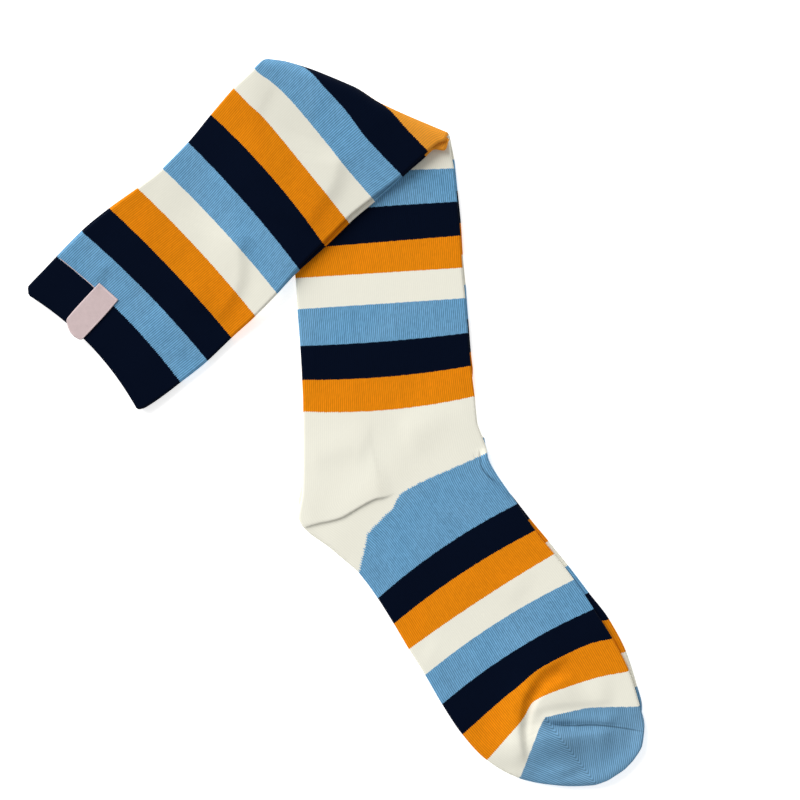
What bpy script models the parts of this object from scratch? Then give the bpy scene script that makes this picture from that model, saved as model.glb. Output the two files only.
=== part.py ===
"""A pair of striped knee socks, one on the other, folded once across the leg.

Each sock is a knitted tube pressed flat: two walls with a thin space between
them, open at the cuff and closed at the toe.  The pair lies on a table, toe
towards +X and -Y, and the upper half of the legs is folded over to the left.
There the lower sock comes out on top, so its ribbon label shows.

Each sock is first laid out straight, as a plan of cross sections from cuff to
toe.  Every point then goes round the fold, and the folded half sinks to the
table beside the leg that it leaves.

Millimetres in the tables, metres in the meshes, +Z up.
"""
import math

import bmesh
import bpy
from mathutils import Vector

MM = 0.001

# ---- The cloth -----------------------------------------------------------
WALL = 1.0            # one layer of knitted cloth
SLIT = 0.4            # space left between the two walls of a pressed tube
GAP = 0.3             # space between one sock and the next
TUBE = 2 * WALL + SLIT
LAYER = TUBE + GAP    # rise from one sock to the next

# ---- The fold across the legs ---------------------------------------------
FOLD_ANGLE = math.radians(-21.5)      # direction of the fold line in plan
FOLD_START = Vector((-39.1, 186.8))   # left end of the fold line
FOLD_ALONG = Vector((math.cos(FOLD_ANGLE), math.sin(FOLD_ANGLE)))
FOLD_OUT = Vector((-FOLD_ALONG.y, FOLD_ALONG.x))
FOLD_LOOSE = 1.0                      # radius of the loose loop inside the fold
LOOSE_RUN = 38.0                      # the loop closes over this length
FOLD_AXIS = 2 * LAYER - GAP / 2 + FOLD_LOOSE   # height that the layers turn about
BOW_FADE = 45.0                       # the ridge's bow is lost this far away
SUPPORT_START = 9.0                   # stripe from which a leg carries what lies on it
DRAPE_RUN = 46.0                      # the folded half sinks over this length
FOOT_DRAPE_START = 1.5                # the upper foot sinks from this far past
FOOT_DRAPE_RUN = 16.0                 # the lower one, over this length
MOUTH_LIFT = 1.6                      # how far the top cuff gapes at its rim
MOUTH_RUN = 30.0                      # and how far down the leg that reaches
CENTRE = Vector((0.15, -0.78))        # middle of the finished pair's box

# How far the ridge of the fold bows out, along its length.
RIDGE_BOW = (
    # along, out
    (0.0, -0.5),
    (12.0, 2.2),
    (28.0, 3.2),
    (48.0, 2.8),
    (66.0, -0.3),
    (84.0, -1.2),
    (102.0, -1.6),
)

# ---- The sock, laid out straight ------------------------------------------
# One row for each cross section, numbered by the stripes from the cuff: the
# cuff band ends at 1, the heel lies between 20 and 21, the toe cap begins at
# 29.  Back is the edge that runs on into the sole, front into the instep.
SECTIONS = (
    # stripe, back x, back y, front x, front y, bow
    (0.0, -43.4, 372.0, 41.6, 377.0, -5.2),
    (0.12, -46.0, 369.0, 43.4, 374.0, -5.0),
    (1.0, -45.5, 347.0, 48.0, 351.0, -3.0),
    (2.0, -44.5, 328.5, 50.5, 333.0, -2.0),
    (3.0, -42.0, 309.5, 51.5, 315.5, -1.5),
    (4.0, -39.0, 291.5, 53.0, 298.5, -1.5),
    (5.0, -36.5, 275.0, 53.5, 282.0, -1.5),
    (6.0, -36.0, 255.5, 52.6, 264.5, -1.5),
    (7.0, -37.0, 236.5, 53.2, 246.0, -2.4),
    (8.0, -37.5, 218.0, 53.6, 228.5, -1.0),
    (9.0, -36.5, 203.0, 55.9, 211.0, -0.5),
    (10.0, -36.5, 187.0, 59.0, 191.0, 0.0),
    (11.0, -37.0, 168.0, 60.2, 171.5, 0.0),
    (11.5, -36.5, 158.5, 62.8, 161.5, 0.0),
    (12.0, -36.0, 149.0, 60.8, 153.5, 0.0),
    (13.0, -33.0, 130.0, 63.0, 135.5, 0.0),
    (14.0, -29.5, 110.0, 64.5, 117.0, 0.0),
    (15.0, -25.5, 91.0, 66.0, 98.5, 0.0),
    (16.0, -21.5, 76.0, 67.0, 81.5, 0.0),
    (17.0, -20.5, 59.6, 68.5, 65.5, 0.0),
    (18.0, -19.0, 40.0, 70.0, 47.0, -1.0),
    (19.0, -18.0, 22.0, 71.5, 29.5, -2.0),
    (20.0, -17.5, 5.5, 73.5, 13.5, -3.0),
    (20.3, -17.5, -17.0, 75.0, -1.0, 0.0),
    (20.4, -18.0, -36.0, 77.0, -6.5, 1.0),
    (20.5, -20.0, -50.0, 78.5, -10.5, 2.0),
    (20.75, -2.0, -68.0, 80.0, -15.0, 4.0),
    (21.0, 12.0, -80.0, 80.5, -18.5, 6.0),
    (22.0, 22.0, -93.5, 96.0, -43.5, 2.8),
    (23.0, 30.5, -107.0, 105.5, -57.5, 2.5),
    (24.0, 38.5, -120.5, 115.5, -70.0, 1.1),
    (25.0, 47.0, -134.0, 126.0, -83.5, 2.8),
    (26.0, 56.0, -149.5, 136.5, -99.0, 3.5),
    (27.0, 67.0, -166.0, 146.5, -115.0, 5.0),
    (28.0, 80.5, -180.0, 155.0, -131.5, 6.0),
    (29.0, 98.0, -189.5, 161.0, -150.5, 6.0),
    (29.35, 112.0, -192.5, 163.5, -161.0, 5.0),
    (29.7, 125.0, -193.5, 162.5, -171.0, 3.0),
    (30.0, 136.0, -193.0, 158.5, -178.5, 1.0),
    (30.2, 142.5, -191.0, 154.0, -183.5, 0.0),
)
TOE_TIP = SECTIONS[-1][0]
TOE_CAP = 29          # the toe's own stripe, the last one
CAVITY_END = 30.0     # the space inside ends here, short of the toe's tip

# How each sock lies against that plan: moved by dx, dy, and spread past the
# plan's back and front edges.  The upper sock turns inside the lower one at
# the fold, so it needs less length there.
UPPER_PLACES = (
    # stripe, dx, dy, back, front
    (0.0, -2.7, -8.5, 0.0, 0.0),
    (2.5, -2.7, -6.8, 1.2, 0.0),
    (5.0, -2.7, -6.8, 0.0, 0.0),
    (6.5, -2.7, -6.8, 0.0, 1.6),
    (8.0, -2.7, -6.8, 0.0, 2.4),
    (9.0, -2.7, -6.8, 0.0, 2.2),
    (10.0, -2.7, -6.8, 0.0, 1.2),
    (11.0, -1.5, -4.0, 0.0, 0.6),
    (13.0, 0.0, 0.0, 0.0, 0.0),
    (TOE_TIP, 0.0, 0.0, 0.0, 0.0),
)
LOWER_PLACES = (
    # stripe, dx, dy, back, front
    (0.0, 0.4, 1.1, 0.0, 0.0),
    (11.0, 0.4, 1.1, 0.0, 0.0),
    (13.0, 0.0, 5.0, -1.0, 0.3),
    (15.0, 0.0, 7.0, -1.5, 0.3),
    (20.0, 0.0, 7.5, -1.5, 0.0),
    (21.0, -1.5, 8.5, 0.0, 0.0),
    (21.3, -2.0, 2.5, 0.0, 0.0),
    (21.7, -1.5, 2.0, 0.0, 0.0),
    (22.0, -2.0, 4.5, 0.0, -0.7),
    (23.0, -2.0, 6.5, 0.0, -0.8),
    (25.0, -2.0, 8.0, 0.0, -1.2),
    (26.0, -1.6, 9.0, 0.0, -1.1),
    (27.0, -1.2, 10.0, 0.0, -0.3),
    (TOE_TIP, -1.0, 10.0, 0.0, 0.0),
)

# Soft ridges in the upper wall of the foot, where the toe seam draws it up.
FOOT_RIDGES = (
    # x1, y1, x2, y2, width, height
    (121.0, -129.0, 102.0, -170.0, 9.0, 1.3),
    (118.0, -157.0, 156.0, -159.0, 7.0, 0.8),
)
RIDGE_SOFTNESS = 1.6  # a ridge fades out this many widths from its middle line

# ---- The ribbon label on the cuff -------------------------------------------
LABEL_WIDTH = 14.0
LABEL_LENGTH = 27.0                   # from the rim down the leg
LABEL_PROUD = 2.1                     # how far its fold stands past the rim
LABEL_TURN_IN = 6.0                   # the part that goes back inside the cuff
LABEL_THICK = 0.5
LABEL_TILT = math.radians(-1.0)
LABEL_PLACE = 0.364                  # how far across the cuff it sits
LABEL_BEND_STEPS = 6
LABEL_RUN_STEPS = 6
LABEL_ACROSS_STEPS = 3

# ---- How finely the tubes are divided ---------------------------------------
ACROSS = 9                            # strips across one wall
EDGE_ANGLES = (-50.0, 0.0, 50.0)      # points round each edge of the tube
FOLD_STEPS = 8
PATH_STEP = 0.02                      # stripes between the tests along an edge
MIN_SLANT = 0.35                      # least sine of a row against the outline
EDGE_STEP = 0.05                      # stripes taken to find an edge's slope

# Rows of the mesh, in stripes, on the flat stretches before and after the fold.
FOOT_ROWS = (30.2, 30.0, 29.7, 29.35, 29.0, 28.5, 28.0, 27.5, 27.0, 26.0, 25.0, 24.0, 23.0,
             22.0, 21.7, 21.3, 21.0, 20.75, 20.6, 20.5, 20.4, 20.2, 20.0, 19.0, 18.0, 17.0, 16.0)
CUFF_ROWS = (6.0, 5.6, 5.3, 5.0, 4.6, 4.3, 4.0, 3.6, 3.3, 3.0, 2.5, 2.0, 1.5, 1.0, 0.6, 0.3, 0.12, 0.0)
LEG_FAN = 4                           # rows that turn towards the fold line
CUFF_FAN = 9                          # and away from it again
FAN_MARGIN = 4.0                      # flat stretch left each side of the bend

# ---- Colours of the yarns, and the stripes' order ---------------------------
YARNS = {
    "blue": (0.133, 0.314, 0.503),
    "navy": (0.002, 0.005, 0.015),
    "orange": (0.745, 0.220, 0.005),
    "white": (0.823, 0.806, 0.694),
}
STRIPE_ORDER = ("blue", "navy", "orange", "white")
CUFF_YARN = "navy"
YARN_ROUGHNESS = 0.9
LABEL_COLOUR = (0.62, 0.48, 0.48)
LABEL_ROUGHNESS = 0.55


def clear_scene():
    for item in list(bpy.data.objects):
        bpy.data.objects.remove(item, do_unlink=True)


def make_material(name, colour, roughness):
    material = bpy.data.materials.new(name)
    material.use_nodes = True
    shader = material.node_tree.nodes["Principled BSDF"]
    shader.inputs["Base Color"].default_value = (*colour, 1.0)
    shader.inputs["Roughness"].default_value = roughness
    shader.inputs["Metallic"].default_value = 0.0
    return material


def clamp(value):
    return min(1.0, max(0.0, value))


def ease(value):
    """A smooth step from 0 to 1."""
    part = clamp(value)
    return part * part * (3.0 - 2.0 * part)


def arch(part):
    """0 at both ends of a span and 1 in its middle."""
    return 4.0 * part * (1.0 - part)


def read_table(table, place):
    """The columns of a table at a place in its first column, between its rows."""
    if place <= table[0][0]:
        return table[0][1:]
    for before, after in zip(table, table[1:]):
        if place <= after[0]:
            part = (place - before[0]) / (after[0] - before[0])
            return [a + (b - a) * part for a, b in zip(before[1:], after[1:])]
    return table[-1][1:]


# ---- The plan of one sock -----------------------------------------------------

def plan_edges(places, stripe):
    """Back edge, front edge and bow of one sock at a stripe, in plan."""
    back_x, back_y, front_x, front_y, bow = read_table(SECTIONS, stripe)
    dx, dy, spread_back, spread_front = read_table(places, stripe)
    move = Vector((dx, dy))
    back = Vector((back_x, back_y)) + move
    front = Vector((front_x, front_y)) + move
    across = (front - back).normalized()
    return back - across * spread_back, front + across * spread_front, bow


def edge_point(places, side, stripe):
    return plan_edges(places, stripe)[side]


def edge_slant(places, side, stripe, across):
    """Sine of the angle between a row and the outline that it ends at."""
    ahead = edge_point(places, side, min(stripe + EDGE_STEP, TOE_TIP))
    behind = edge_point(places, side, max(stripe - EDGE_STEP, 0.0))
    outline = (ahead - behind).normalized()
    return max(MIN_SLANT, abs(outline.x * across.y - outline.y * across.x))


def plan_row(places, back_stripe, front_stripe):
    """One row across a sock: the middles of its two rounded edges, and its bow."""
    back = edge_point(places, 0, back_stripe)
    front = edge_point(places, 1, front_stripe)
    across = (front - back).normalized()
    back_inset = TUBE / 2 / edge_slant(places, 0, back_stripe, across)
    front_inset = TUBE / 2 / edge_slant(places, 1, front_stripe, across)
    bow = plan_edges(places, (back_stripe + front_stripe) / 2)[2]
    return {
        "back": back + across * back_inset,
        "front": front - across * front_inset,
        "across": across,
        "inset": (back_inset, front_inset),
        "bow": bow,
    }


def plan_point(row, part, outward):
    """A point of a row: part 0 is its back edge, 1 its front edge."""
    normal = Vector((-row["across"].y, row["across"].x))
    point = row["back"].lerp(row["front"], part)
    return point + normal * row["bow"] * arch(part) + row["across"] * outward


def outline(places, first):
    """The outline of one sock in plan, from a stripe to the tip of its toe."""
    stripes = sorted({row[0] for row in SECTIONS + places if row[0] >= first})
    backs = [edge_point(places, 0, stripe) for stripe in stripes]
    fronts = [edge_point(places, 1, stripe) for stripe in reversed(stripes)]
    return backs + fronts


def outside(point, loop):
    """How far a point lies outside a closed outline, or 0 inside it."""
    inside = False
    nearest = math.inf
    for a, b in zip(loop, loop[1:] + loop[:1]):
        if (a.y > point.y) != (b.y > point.y):
            crossing = a.x + (point.y - a.y) / (b.y - a.y) * (b.x - a.x)
            if crossing > point.x:
                inside = not inside
        side = b - a
        part = clamp((point - a).dot(side) / side.length_squared)
        nearest = min(nearest, (point - a - side * part).length)
    return 0.0 if inside else nearest


# ---- From the plan to the folded pair -------------------------------------------

class Lay:
    """How one sock lies: its height in the stack, its bend and its supports."""

    def __init__(self, places, base, under_leg, under_fold):
        self.places = places
        self.middle = base + TUBE / 2
        self.bend = math.pi * (FOLD_AXIS - self.middle)
        self.under_leg = under_leg        # outline that carries the leg and foot
        self.under_fold = under_fold      # outline that carries the folded half

    def past_fold(self, point):
        return (point - FOLD_START).dot(FOLD_OUT)

    def turned(self, point, height):
        """A plan point taken round the fold, and the share of the turn it makes."""
        along = (point - FOLD_START).dot(FOLD_ALONG)
        past = self.past_fold(point)
        share = clamp(past / self.bend)
        beyond = max(-past, past - self.bend, 0.0)
        bow = read_table(RIDGE_BOW, along)[0] * (1.0 - ease(beyond / BOW_FADE))
        radius = FOLD_AXIS - height
        out = bow + min(past, 0.0) - max(past - self.bend, 0.0)
        out += radius * math.sin(math.pi * share)
        ground = FOLD_START + FOLD_ALONG * along + FOLD_OUT * out
        z = FOLD_AXIS - radius * math.cos(math.pi * share)
        z -= 2 * FOLD_LOOSE * ease((past - self.bend) / LOOSE_RUN)
        return ground, z, share

    def point(self, plan, height, wall=0.0):
        """Place a plan point.  Wall is 1 on the wall that is on top in the leg,
        -1 on the one that is on top in the folded half, and 0 between them."""
        ground, z, share = self.turned(plan, height)
        over = ease(share)
        if self.under_leg:
            clear = outside(ground, self.under_leg) - FOOT_DRAPE_START
            drop = LAYER * ease(clear / FOOT_DRAPE_RUN)
            z -= drop * (1.0 - over)
        if over > 0.0:
            drop = 2 * LAYER * ease(outside(ground, self.under_fold) / DRAPE_RUN)
            z -= drop * over
        if self.under_leg and wall > 0.0:
            z += wall * foot_lift(ground) * (1.0 - over)
        if not self.under_leg and wall < 0.0:
            z -= wall * mouth_lift(plan) * over
        return Vector((ground.x - CENTRE.x, ground.y - CENTRE.y, z))


def foot_lift(ground):
    """How far the ridges raise the upper wall of the foot."""
    lift = 0.0
    for x1, y1, x2, y2, width, height in FOOT_RIDGES:
        start = Vector((x1, y1))
        line = Vector((x2, y2)) - start
        part = clamp((ground - start).dot(line) / line.length_squared)
        away = (ground - start - line * part).length
        lift += height * (1.0 - ease(away / (width * RIDGE_SOFTNESS)))
    return lift


def rim_point(part):
    """A plan point on the rim of the cuff on top, and the way up out of the cuff."""
    back, front, bow = plan_edges(LOWER_PLACES, 0.0)
    line = (front - back).normalized()
    normal = Vector((-line.y, line.x))
    return back.lerp(front, part) + normal * bow * arch(part), normal


def rim_distance(plan):
    """How far down the leg a plan point lies from the rim of the cuff."""
    back, front, _ = plan_edges(LOWER_PLACES, 0.0)
    line = front - back
    rim, normal = rim_point((plan - back).dot(line) / line.length_squared)
    return (rim - plan).dot(normal)


def mouth_lift(plan):
    """How far the cuff on top gapes."""
    return MOUTH_LIFT * (1.0 - ease(rim_distance(plan) / MOUTH_RUN))


def edge_stripe(lay, side, past):
    """The stripe at which an edge is a given distance past the fold line."""
    stripe = FOOT_ROWS[-1]
    while stripe > CUFF_ROWS[0] and lay.past_fold(edge_point(lay.places, side, stripe)) < past:
        stripe -= PATH_STEP
    return stripe


def fan(start, end, count):
    """Pairs of stripes that turn evenly from one pair to another, ends left out."""
    pairs = []
    for i in range(1, count + 1):
        part = i / (count + 1)
        pairs.append(tuple(a + (b - a) * part for a, b in zip(start, end)))
    return pairs


def mesh_rows(lay):
    """Back and front stripes of every row, from the toe to the cuff."""
    def across_fold(past):
        return edge_stripe(lay, 0, past), edge_stripe(lay, 1, past)

    foot = [(stripe, stripe) for stripe in FOOT_ROWS]
    cuff = [(stripe, stripe) for stripe in CUFF_ROWS]
    bend = [across_fold(lay.bend * i / FOLD_STEPS) for i in range(FOLD_STEPS + 1)]
    before = across_fold(-FAN_MARGIN)
    after = across_fold(lay.bend + FAN_MARGIN)
    rows = foot + fan(foot[-1], before, LEG_FAN) + [before] + bend
    return rows + [after] + fan(after, cuff[0], CUFF_FAN) + cuff


def ring(lay, row, radius):
    """Points round one tube wall: radius TUBE / 2 outside, SLIT / 2 inside."""
    points = []
    for i in range(ACROSS + 1):
        plan = plan_point(row, i / ACROSS, 0.0)
        points.append(lay.point(plan, lay.middle - radius, -1.0))
    for angle in EDGE_ANGLES:
        points.append(edge_of_ring(lay, row, radius, 1, angle))
    for i in range(ACROSS, -1, -1):
        plan = plan_point(row, i / ACROSS, 0.0)
        points.append(lay.point(plan, lay.middle + radius, 1.0))
    for angle in reversed(EDGE_ANGLES):
        points.append(edge_of_ring(lay, row, radius, 0, angle))
    return [point * MM for point in points]


def edge_of_ring(lay, row, radius, side, angle):
    """A point on a rounded edge, angle degrees above the middle of the tube."""
    turn = math.radians(angle)
    reach = row["inset"][side] * radius / (TUBE / 2) * math.cos(turn)
    outward = reach if side == 1 else -reach
    plan = plan_point(row, float(side), outward)
    return lay.point(plan, lay.middle + radius * math.sin(turn), math.sin(turn))


# ---- Meshes -----------------------------------------------------------------------

def bridge(mesh, first, second):
    """Faces between two closed rings of the same count."""
    faces = []
    count = len(first)
    for i in range(count):
        j = (i + 1) % count
        faces.append(mesh.faces.new((first[i], first[j], second[j], second[i])))
    return faces


def cap(mesh, loop):
    """Closes a flattened ring with strips between its two walls."""
    faces = []
    edge = len(EDGE_ANGLES)
    order = loop[-edge:] + loop[:-edge]
    half = len(order) // 2
    low = order[:half]
    high = [order[-1 - i] for i in range(half)]
    for i in range(half - 1):
        faces.append(mesh.faces.new((low[i], low[i + 1], high[i + 1], high[i])))
    return faces


def yarn_of(stripe):
    """Colour of the yarn at a place counted in stripes from the cuff."""
    whole = min(int(stripe), TOE_CAP)
    if whole == 0:
        return CUFF_YARN
    return STRIPE_ORDER[(whole - 1) % len(STRIPE_ORDER)]


def colour_faces(faces, stripe):
    for face in faces:
        face.material_index = list(YARNS).index(yarn_of(stripe))
        face.smooth = True


def make_wall(mesh, lay, pairs, radius):
    """One face of the cloth, closed at the toe.  Returns its ring at the cuff."""
    rings = []
    for pair in pairs:
        row = plan_row(lay.places, *pair)
        rings.append([mesh.verts.new(point) for point in ring(lay, row, radius)])
    for i in range(len(rings) - 1):
        stripe = (sum(pairs[i]) + sum(pairs[i + 1])) / 4
        colour_faces(bridge(mesh, rings[i], rings[i + 1]), stripe)
    colour_faces(cap(mesh, rings[0]), TOE_TIP)
    return rings[-1]


def make_sock(name, lay, materials):
    """One knitted tube, with its outer face, its inner face and its open rim."""
    mesh = bmesh.new()
    pairs = mesh_rows(lay)
    inner_pairs = [pair for pair in pairs if pair[0] <= CAVITY_END]
    outer_rim = make_wall(mesh, lay, pairs, TUBE / 2)
    inner_rim = make_wall(mesh, lay, inner_pairs, SLIT / 2)
    colour_faces(bridge(mesh, outer_rim, inner_rim), 0.0)
    bmesh.ops.recalc_face_normals(mesh, faces=mesh.faces)
    return add_object(name, mesh, [materials[yarn] for yarn in YARNS])


def add_object(name, mesh, materials):
    data = bpy.data.meshes.new(name)
    mesh.to_mesh(data)
    mesh.free()
    for material in materials:
        data.materials.append(material)
    item = bpy.data.objects.new(name, data)
    bpy.context.scene.collection.objects.link(item)
    return item


def label_profile():
    """Middle line of the ribbon: distance down the leg, and height over the wall's middle."""
    lift = WALL / 2 + GAP + LABEL_THICK / 2
    reach = LABEL_PROUD - LABEL_THICK / 2
    profile = []
    for i in range(LABEL_RUN_STEPS):
        profile.append((LABEL_LENGTH * (1 - i / LABEL_RUN_STEPS), lift))
    for i in range(LABEL_BEND_STEPS + 1):
        turn = math.pi * i / LABEL_BEND_STEPS
        profile.append((-(reach - lift) - lift * math.sin(turn), lift * math.cos(turn)))
    profile.append((LABEL_TURN_IN, -lift))
    return profile


def make_label(lay, material):
    """A ribbon folded over the rim of the top cuff: long outside, short inside."""
    mesh = bmesh.new()
    profile = label_profile()
    down = Vector((math.sin(LABEL_TILT), -math.cos(LABEL_TILT)))
    side = Vector((down.y, -down.x))
    rim, _ = rim_point(LABEL_PLACE)
    wall_middle = lay.middle - SLIT / 2 - WALL / 2
    rings = []
    for i, (distance, lift) in enumerate(profile):
        before = profile[max(i - 1, 0)]
        after = profile[min(i + 1, len(profile) - 1)]
        run = Vector((after[0] - before[0], after[1] - before[1])).normalized()
        normal = Vector((run.y, -run.x))
        loop = []
        for face, order in ((1, range(LABEL_ACROSS_STEPS + 1)), (-1, range(LABEL_ACROSS_STEPS, -1, -1))):
            for j in order:
                across = (j / LABEL_ACROSS_STEPS - 0.5) * LABEL_WIDTH
                along = distance + face * normal.x * LABEL_THICK / 2
                height = lift + face * normal.y * LABEL_THICK / 2
                plan = rim + down * along + side * across
                loop.append(mesh.verts.new(lay.point(plan, wall_middle - height, -1.0) * MM))
        rings.append(loop)
    for first, second in zip(rings, rings[1:]):
        bridge(mesh, first, second)
    for loop in (rings[0], rings[-1]):
        half = len(loop) // 2
        for j in range(half - 1):
            mesh.faces.new((loop[j], loop[j + 1], loop[-2 - j], loop[-1 - j]))
    bmesh.ops.recalc_face_normals(mesh, faces=mesh.faces)
    return add_object("label", mesh, [material])


def main():
    clear_scene()
    materials = {name: make_material(name, colour, YARN_ROUGHNESS) for name, colour in YARNS.items()}
    ribbon = make_material("ribbon", LABEL_COLOUR, LABEL_ROUGHNESS)
    lower_outline = outline(LOWER_PLACES, SUPPORT_START)
    upper_outline = outline(UPPER_PLACES, SUPPORT_START)
    lower = Lay(LOWER_PLACES, 0.0, None, upper_outline)
    upper = Lay(UPPER_PLACES, LAYER, lower_outline, upper_outline)
    make_sock("sock_lower", lower, materials)
    make_sock("sock_upper", upper, materials)
    make_label(lower, ribbon)


main()
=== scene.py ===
"""Looks of a pair of striped knee socks, one on the other, folded once across the leg.

Each sock is a thin knitted tube, pressed flat and laid round the fold just as
its CAD solid is, with finer rows, creases, seams and a procedural knit.

Millimetres in the tables, metres in the meshes, +Z up.
"""
import math

import bpy
import numpy as np
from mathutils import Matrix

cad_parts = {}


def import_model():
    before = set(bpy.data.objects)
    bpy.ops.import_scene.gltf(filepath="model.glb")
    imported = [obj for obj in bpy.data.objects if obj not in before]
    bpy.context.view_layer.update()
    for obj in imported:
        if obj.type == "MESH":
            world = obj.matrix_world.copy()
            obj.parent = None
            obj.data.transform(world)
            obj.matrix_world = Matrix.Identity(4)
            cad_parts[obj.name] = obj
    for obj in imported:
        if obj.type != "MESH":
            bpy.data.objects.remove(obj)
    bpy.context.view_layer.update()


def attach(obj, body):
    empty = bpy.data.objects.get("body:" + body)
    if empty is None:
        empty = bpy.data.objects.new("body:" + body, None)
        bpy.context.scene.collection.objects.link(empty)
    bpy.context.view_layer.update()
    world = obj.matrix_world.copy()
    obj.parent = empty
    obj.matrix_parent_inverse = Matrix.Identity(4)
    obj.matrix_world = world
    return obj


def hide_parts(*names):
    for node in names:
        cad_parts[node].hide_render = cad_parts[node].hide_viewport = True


MM = 0.001

# ---- The cloth and the fold, as in the CAD part
WALL = 1.0  # one layer of knitted cloth
SLIT = 0.4  # space left between the two walls of a pressed tube
GAP = 0.3  # space between one sock and the next
TUBE = 2 * WALL + SLIT
LAYER = TUBE + GAP  # rise from one sock to the next

FOLD_ANGLE = math.radians(-21.5)  # direction of the fold line in plan
FOLD_START = np.array((-39.1, 186.8))  # left end of the fold line
FOLD_ALONG = np.array((math.cos(FOLD_ANGLE), math.sin(FOLD_ANGLE)))
FOLD_OUT = np.array((-FOLD_ALONG[1], FOLD_ALONG[0]))
FOLD_LOOSE = 1.0  # radius of the loose loop inside the fold
LOOSE_RUN = 38.0  # the loop closes over this length
FOLD_AXIS = 2 * LAYER - GAP / 2 + FOLD_LOOSE  # height the layers turn about
BOW_FADE = 45.0  # the ridge's bow is lost this far away
SUPPORT_START = 9.0  # stripe from which a leg carries another
DRAPE_RUN = 46.0  # the folded half sinks over this length
FOOT_DRAPE_START = 1.5  # the upper foot sinks from this far past
FOOT_DRAPE_RUN = 16.0  # the lower one, over this length
MOUTH_LIFT = 1.6  # how far the top cuff gapes at its rim
MOUTH_RUN = 30.0  # and how far down the leg that reaches
CENTRE = np.array((0.15, -0.78))  # middle of the finished pair's box

# How far the ridge of the fold bows out, along its length.
RIDGE_BOW = np.array((
    # along, out
    (0, -0.5),
    (12, 2.2),
    (28, 3.2),
    (48, 2.8),
    (66, -0.3),
    (84, -1.2),
    (102, -1.6),
))

# One row for each cross section, numbered by the stripes from the cuff: the
# cuff band ends at 1, the heel lies between 20 and 21, the toe cap begins at
# 29.  Back is the edge that runs on into the sole, front into the instep.
SECTIONS = np.array((
    # stripe, back x, back y, front x, front y, bow
    (0, -43.4, 372, 41.6, 377, -5.2),
    (0.12, -46, 369, 43.4, 374, -5),
    (1, -45.5, 347, 48, 351, -3),
    (2, -44.5, 328.5, 50.5, 333, -2),
    (3, -42, 309.5, 51.5, 315.5, -1.5),
    (4, -39, 291.5, 53, 298.5, -1.5),
    (5, -36.5, 275, 53.5, 282, -1.5),
    (6, -36, 255.5, 52.6, 264.5, -1.5),
    (7, -37, 236.5, 53.2, 246, -2.4),
    (8, -37.5, 218, 53.6, 228.5, -1),
    (9, -36.5, 203, 55.9, 211, -0.5),
    (10, -36.5, 187, 59, 191, 0),
    (11, -37, 168, 60.2, 171.5, 0),
    (11.5, -36.5, 158.5, 62.8, 161.5, 0),
    (12, -36, 149, 60.8, 153.5, 0),
    (12.4, -34.8, 141.4, 61.2, 146.3, 0),
    (13, -33, 130, 63, 135.5, 0),
    (14, -29.5, 110, 64.5, 117, 0),
    (15, -25.5, 91, 66, 98.5, 0),
    (16, -21.5, 76, 67, 81.5, 0),
    (17, -20.5, 59.6, 68.5, 65.5, 0),
    (18, -19, 40, 70, 47, -1),
    (19, -18, 22, 71.5, 29.5, -2),
    (20, -17.5, 5.5, 73.5, 13.5, -3),
    (20.3, -17.5, -17, 75, -1, 0),
    (20.4, -18, -36, 77, -6.5, 1),
    (20.5, -20, -50, 78.5, -10.5, 2),
    (20.75, -2, -68, 80, -15, 4),
    (21, 12, -80, 80.5, -18.5, 6),
    (22, 22, -93.5, 96, -43.5, 2.8),
    (23, 30.5, -107, 105.5, -57.5, 2.5),
    (24, 38.5, -120.5, 115.5, -70, 1.1),
    (25, 47, -134, 126, -83.5, 2.8),
    (26, 56, -149.5, 136.5, -99, 3.5),
    (27, 67, -166, 146.5, -115, 5),
    (28, 80.5, -180, 155, -131.5, 6),
    (29, 98, -189.5, 161, -150.5, 6),
    (29.35, 112, -192.5, 163.5, -161, 5),
    (29.7, 125, -193.5, 162.5, -171, 3),
    (30, 136, -193, 158.5, -178.5, 1),
    (30.2, 142.5, -191, 154, -183.5, 0),
))
TOE_TIP = SECTIONS[-1, 0]
TOE_CAP = 29.0
CAVITY_END = 30.0  # the space inside ends here, short of the toe's tip

# How each sock lies against that plan: moved by dx, dy, and spread past the
# plan's back and front edges.
UPPER_PLACES = np.array((
    # stripe, dx, dy, back, front
    (0, -2.7, -8.5, 0, 0),
    (2.5, -2.7, -6.8, 1.2, 0),
    (5, -2.7, -6.8, 0, 0),
    (6.5, -2.7, -6.8, 0, 1.6),
    (8, -2.7, -6.8, 0, 2.4),
    (9, -2.7, -6.8, 0, 2.2),
    (10, -2.7, -6.8, 0, 0.8),
    (11, -1.5, -4, 0, -0.3),
    (11.3, -1.3, -3.4, 0, -1.8),
    (11.55, -1, -2.9, 0, 1.7),
    (11.8, -0.9, -2.4, 0, 1.5),
    (12, -0.7, -2, 0, 0.9),
    (13, 0, 0, 0, 0),
    (TOE_TIP, 0, 0, 0, 0),
))
LOWER_PLACES = np.array((
    # stripe, dx, dy, back, front
    (0, 0.4, 1.1, 0, 0),
    (11, 0.4, 1.1, 0, 0),
    (11.35, 0.4, 1.4, 0, -1.2),
    (11.6, 0.3, 1.9, 0, 0.2),
    (13, 0, 5, -1, 0.3),
    (15, 0, 7, -1.5, 0.3),
    (19.6, 0, 7.5, -1.5, 0),
    (20.2, -0.3, 7.6, -1.2, -1.8),
    (20.6, -0.9, 8, -0.6, -2.2),
    (20.95, -1.4, 8.4, 0, -0.2),
    (21.3, -2, 2.5, 0, 0.2),
    (21.7, -1.5, 2, 0, -0.3),
    (22, -2, 4.5, 0, -0.7),
    (23, -2, 6.5, 0, -0.8),
    (25, -2, 8, 0, -1.2),
    (26, -1.6, 9, 0, -1.1),
    (27, -1.2, 10, 0, -0.3),
    (TOE_TIP, -1, 10, 0, 0),
))

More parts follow.
